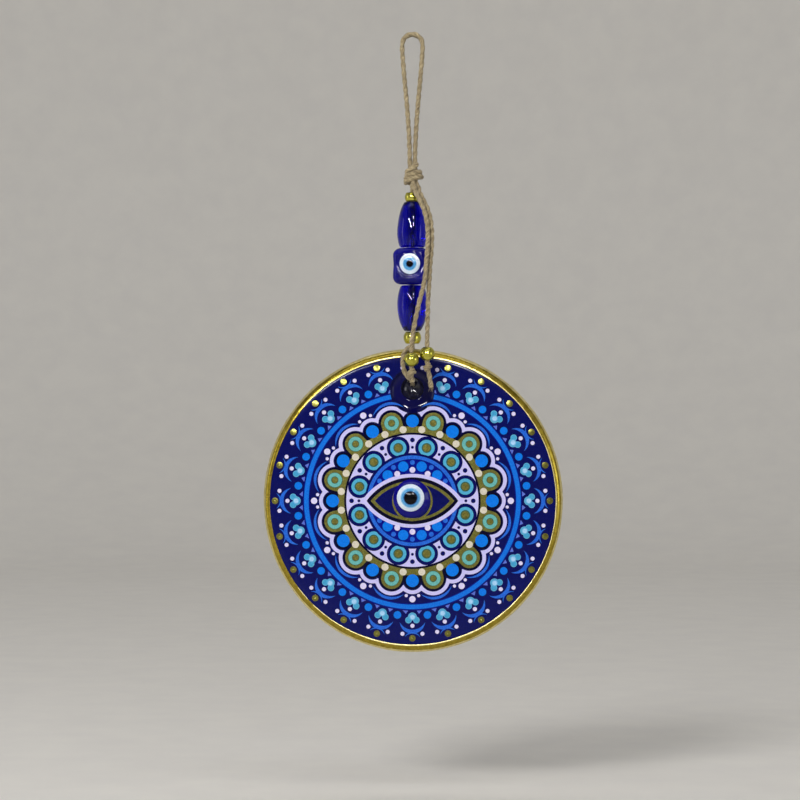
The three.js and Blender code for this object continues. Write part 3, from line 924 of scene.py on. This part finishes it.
def bullseye(height, degrees, rounds):
    """Draws circles on one centre, each (ink, layer, radius)."""
    for colour, layer, radius in rounds:
        draw(colour, layer, turned(circle((0, height), radius), degrees))


# The web of small eyes round the middle
band("lavender", 1, 26.15, 18.9)
WEB_ROUNDS = [("navy", 2, 4.52), ("sky", 3, 3.2), ("olive", 4, 1.95), ("gold", 5, 1.45)]
for degrees in ROUND_12:
    bullseye(WEB_HEIGHT, degrees, WEB_ROUNDS)
for degrees in SPOKES_12:
    draw("navy", 2, turned(circle((0, 24), 0.92), degrees))
    draw("navy", 2, turned(circle((0, 21.1), 0.58), degrees))
band("dark", 2, 26.95, 26.1)

# The middle field, its ring and dots
draw("navy", 3, circle((0, 0), 18.75, FINE_COUNT))
band("mid_blue", 4, 17.9, 16.5)
draw("royal", 4, circle((0, 0), 16.4, FINE_COUNT))
for flip in (0, 180):
    for degrees in (-44.2, -15, 15, 44.2):
        draw("azure", 5, turned(circle((0, 14), 2.02), degrees + flip))
    for degrees in (-59, -29.5, 0, 29.5, 59):
        draw("mid_blue", 5, turned(circle((0, 15.15), 0.95), degrees + flip))
    for degrees in (-29.5, 0, 29.5):
        draw("white", 7, turned(circle((0, 12.2), 1.15), degrees + flip))

# The almond eye
draw("dark", 5, almond(18.9, 9.85))
draw("lavender", 6, almond(20.0, 10.65), almond(18.1, 9.25))
draw("navy", 6, almond(16.2, 7.6))
draw("gold", 7, almond(16.5, 7.85), almond(14.8, 6.85))
draw("gold", 8, circle((0, 0), 8.0, 96), circle((0, 0), 7.2, 96))

# The gold lobes, their dark outline and the lavender scallops
draw("dark", 1, union(lobes_and_dots(4.95, 3.4), at_least=30.4), union([], at_least=26.5))
draw("gold", 2, union([(centre, 4.15) for centre in LOBES], at_least=29.4), union([], at_least=26.9))
draw("lavender", 2, union(lobes_and_dots(6.65, 5.3)), union(lobes_and_dots(5.2, 3.85)))
LOBE_ROUNDS = [("olive", 3, 3.05), ("turquoise", 4, 2.85), ("olive", 5, 1.45), ("gold", 6, 1.2)]
for degrees in ROUND_12:
    bullseye(LOBE_HEIGHT, degrees, LOBE_ROUNDS)
    draw("mid_blue", 2, turned(crescent((6.3, 36.4), 40.05, 38.95), degrees))
for degrees in SPOKES_12:
    draw("azure", 3, turned(circle((0, DOT_HEIGHT), 2.52), degrees))
    draw("white", 2, turned(circle((0, 38.8), 1.25), degrees))
    for across in (-2.45, 2.45):
        draw("white", 2, turned(circle((across, 37.4), 0.64), degrees))
for degrees in SPOKES_24:
    draw("cream", 4, turned(circle((0, 28.3), 1.4), degrees + 7.5))

# The outer band
band("royal", 1, 43.15, 40.55)
band("azure_ring", 2, 42.75, 40.95)
TRIANGLE = [(1.7, 43.35), (3.8, 43.2), (2.6, 44.6)]
TREFOIL = [((0, 45.8), 1.72), ((-1.55, 47.05), 1.28), ((1.55, 47.05), 1.28)]
TREFOIL_EDGE = 0.2
trefoil = union(TREFOIL, (0, 46.4), count=60)
inner_trefoil = union([(centre, radius - TREFOIL_EDGE) for centre, radius in TREFOIL], (0, 46.4), count=60)
for degrees in SPOKES_24:
    draw("azure", 2, turned(circle((0, 45.4), 1.5), degrees + 7.5))
    for mirror in (-1, 1):
        draw("violet", 2, turned([(mirror * x, z) for x, z in TRIANGLE], degrees))
        draw("white", 2, turned(circle((mirror * 3.95, 52.45), 0.8), degrees))
    draw("cyan_edge", 2, turned(trefoil, degrees))
    draw("cyan", 3, turned(inner_trefoil, degrees))
    draw("cyan_edge", 4, turned(circle((0, 45.85), 1.3), degrees))
    draw("pale", 5, turned(circle((0, 45.9), 0.9), degrees))
    draw("white", 3, turned(circle((0, 49.3), 0.82), degrees))
    draw("mid_blue", 2, turned(crescent((5.0, 47.9), 52.4, 50.85), degrees))
    draw("mid_blue", 3, turned(crescent((3.05, 53.8), 52.35, 51.75), degrees))


LAYER, LAYER_STAGGER = 0.035, 0.00004  # the stagger keeps two shapes of one layer out of one plane
INK_ROOT = 0.05


def plate(outline, hole, front):
    """A thin flat plate of ink that starts inside the print's base."""
    back = PRINT_FRONT + INK_ROOT
    near = [(x, front, z + DISC_MIDDLE) for x, z in outline]
    far = [(x, back, z + DISC_MIDDLE) for x, z in outline]
    if hole is None:
        return skin([near, far])
    near_hole = [(x, front, z + DISC_MIDDLE) for x, z in hole]
    far_hole = [(x, back, z + DISC_MIDDLE) for x, z in hole]
    return skin([near, far, far_hole, near_hole], loop=True)


def from_disc_middle(part):
    """A part drawn round the disc's middle, in its place."""
    vertices, faces, _ = part
    return [(x, y, z + DISC_MIDDLE) for x, y, z in vertices], faces, None


def dish_cutter():
    """A rod through the dish that keeps the ink clear of it."""
    vertices, faces, _ = rod(PRINT_HOLE[0] + 0.02, -2, 2, (0, 0, 0), 128)
    turn = Matrix.Rotation(math.pi / 2, 3, "X")
    middle = Vector((0, PRINT_FRONT, DISC_MIDDLE + DISH_HEIGHT))
    vertices = [turn @ Vector(v) + middle for v in vertices]
    return piece("dish_cutter", [(vertices, faces, None)], INKS["navy"])


by_ink = {}
for index, (colour, layer, outline, hole) in enumerate(drawing):
    from_dish = [math.hypot(x, z - DISH_HEIGHT) - PRINT_HOLE[0] for x, z in outline]
    if max(from_dish) < 0:
        continue
    group = by_ink.setdefault(colour, {"whole": [], "crossing": []})
    front = PRINT_FRONT - LAYER * layer - LAYER_STAGGER * index
    group["crossing" if min(from_dish) < 0 else "whole"].append(plate(outline, hole, front))

for colour, group in by_ink.items():
    printed = piece(f"print_{colour}", group["whole"] or group["crossing"], INKS[colour], smooth=False)
    if group["whole"] and group["crossing"]:
        crossing = piece("crossing", group["crossing"], INKS[colour], smooth=False)
        cut_away(crossing, dish_cutter())
        joined = bmesh.new()
        joined.from_mesh(printed.data)
        joined.from_mesh(crossing.data)
        joined.to_mesh(printed.data)
        joined.free()
        bpy.data.objects.remove(crossing)
    elif group["crossing"]:
        cut_away(printed, dish_cutter())
    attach(printed, "disc")


STUD_PLACE, STUD_RADIUS, STUD_LIFT = 54.25, 1.3, 0.24
STUD_LEAN, STUD_CROWN = 0.16, 0.05


def gold_stud(degrees):
    """A low crowned dot of gold near the edge, leaning out as the print does there."""
    place = turned([(0, STUD_PLACE)], degrees)[0]

    def face(x, z):
        lean = STUD_LEAN * (math.hypot(x, z) - STUD_PLACE)
        return PRINT_FRONT - STUD_LIFT + lean + STUD_CROWN * math.dist((x, z), place) ** 2

    return from_disc_middle(dab(place, STUD_RADIUS, NO_LIFT, face, 28, 8))


studs = piece("print_gold_studs", [gold_stud(degrees) for degrees in SPOKES_24], INKS["gold"])
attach(studs, "disc")


# ------------ centre eye

EYE_X, EYE_Z = -0.3, 1.0
EYE_RADIUS, EYE_BASE, EYE_FRONT = 7.7, -3.45, -6.4
EYE_HEIGHT = EYE_BASE - EYE_FRONT
EYE_SPHERE = (EYE_RADIUS**2 + EYE_HEIGHT**2) / (2 * EYE_HEIGHT)
LAYERS_X, LAYERS_Z = EYE_X - 0.45, EYE_Z + 0.25


def dome_face(x, z):
    """How far back the raised glass eye's surface stands at a point."""
    away = min(EYE_RADIUS, math.hypot(x - EYE_X, z - EYE_Z))
    return EYE_BASE - (math.sqrt(EYE_SPHERE**2 - away**2) - EYE_SPHERE + EYE_HEIGHT)


dome_part = from_disc_middle(dab((EYE_X, EYE_Z), EYE_RADIUS, NO_LIFT, dome_face, 96, 28))
dome = piece("centre_eye_dome", [dome_part], dome_glass)
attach(dome, "disc")
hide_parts("centre_eye_glass")
CENTRE_EYE_LAYERS = [
    # layer, radius, lift
    ("white", 5.4, 0.2), ("halo", 4.3, 0.28), ("iris", 3.95, 0.34), ("depth", 3.25, 0.4),
    ("pupil", 2.85, 0.48),
]
for layer, radius, lift in CENTRE_EYE_LAYERS:
    part = from_disc_middle(dab((LAYERS_X, LAYERS_Z), radius, lift, dome_face, 80, 20))
    dot = piece(f"centre_eye_{layer}_dab", [part], EYES[layer])
    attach(dot, "disc")
    if layer in LAYER_SLOTS:
        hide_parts(f"centre_eye_{layer}")


# ------------ floor, backdrop and lights

FLOOR_HEIGHT, FLOOR_RADIUS = -0.30, 1.3
COVE_RADIUS, WALL_TOP = 0.6, 2.6
FLOOR_SIDES = 96


def sweep_floor():
    """A round floor that curves up into a wall all the way round, in metres."""
    outline = [(radius, FLOOR_HEIGHT) for radius in (0.02, 0.6, FLOOR_RADIUS)]
    cove = arc((FLOOR_RADIUS, FLOOR_HEIGHT + COVE_RADIUS), COVE_RADIUS, -85, 0, 16)
    outline += [*cove, (FLOOR_RADIUS + COVE_RADIUS, WALL_TOP)]
    turns = [math.tau * k / FLOOR_SIDES for k in range(FLOOR_SIDES)]
    vertices = [Vector((r * math.cos(t), r * math.sin(t), z)) / MM for r, z in outline for t in turns]
    faces = [tuple(range(FLOOR_SIDES))]
    for i in range(len(outline) - 1):
        a, b = i * FLOOR_SIDES, (i + 1) * FLOOR_SIDES
        for k in range(FLOOR_SIDES):
            after = (k + 1) % FLOOR_SIDES
            faces.append((a + k, a + after, b + after, b + k))
    piece("floor", [(vertices, faces, None)], floor_paint)


sweep_floor()


def area_light(name, place, target, size, energy, colour=(1, 1, 1), roll=0.0, diffuse=True, glossy=True):
    """A soft light, in metres and watts, which may be left out of shading or of reflections."""
    data = bpy.data.lights.new(name, "AREA")
    data.shape, data.size, data.size_y = "RECTANGLE", *size
    data.energy, data.color = energy, colour
    light = bpy.data.objects.new(name, data)
    bpy.context.scene.collection.objects.link(light)
    light.location = place
    light.visible_diffuse, light.visible_glossy = diffuse, glossy
    aim = (Vector(target) - Vector(place)).to_track_quat("-Z", "Y")
    light.rotation_euler = (aim.to_matrix() @ Matrix.Rotation(math.radians(roll), 3, "Z")).to_euler()


OBJECT_MIDDLE = (0, 0, -0.13)
area_light("key", (-0.6, -1.0, 0.6), OBJECT_MIDDLE, (0.42, 0.34), 11.0, (1, 0.98, 0.95), glossy=False)
area_light("strip_left", (-0.44, -1.1, 0.3), (-0.44, 0, 0.3), (0.035, 0.74), 12.0, roll=60, diffuse=False)
area_light("strip_right", (0.17, -1.1, 0.32), (0.17, 0, 0.32), (0.038, 0.34), 7.0, roll=-6, diffuse=False)
area_light("fill", (0.95, -0.5, -0.1), OBJECT_MIDDLE, (0.3, 0.5), 1.4, (0.95, 0.97, 1))
area_light("top", (0.0, -0.6, 0.95), OBJECT_MIDDLE, (1.4, 0.22), 2.3)
area_light("side", (-1.0, -0.15, -0.05), OBJECT_MIDDLE, (0.12, 0.6), 0.8)
area_light("backdrop", (0, 0.4, 2.3), (0, 1.9, 0.3), (2.4, 1.0), 11)

world = bpy.data.worlds.new("studio")
bpy.context.scene.world = world
world.use_nodes = True
world.node_tree.nodes["Background"].inputs["Color"].default_value = linear("b4b4b2")
world.node_tree.nodes["Background"].inputs["Strength"].default_value = 0.35
bpy.context.scene.view_settings.view_transform = "Standard"
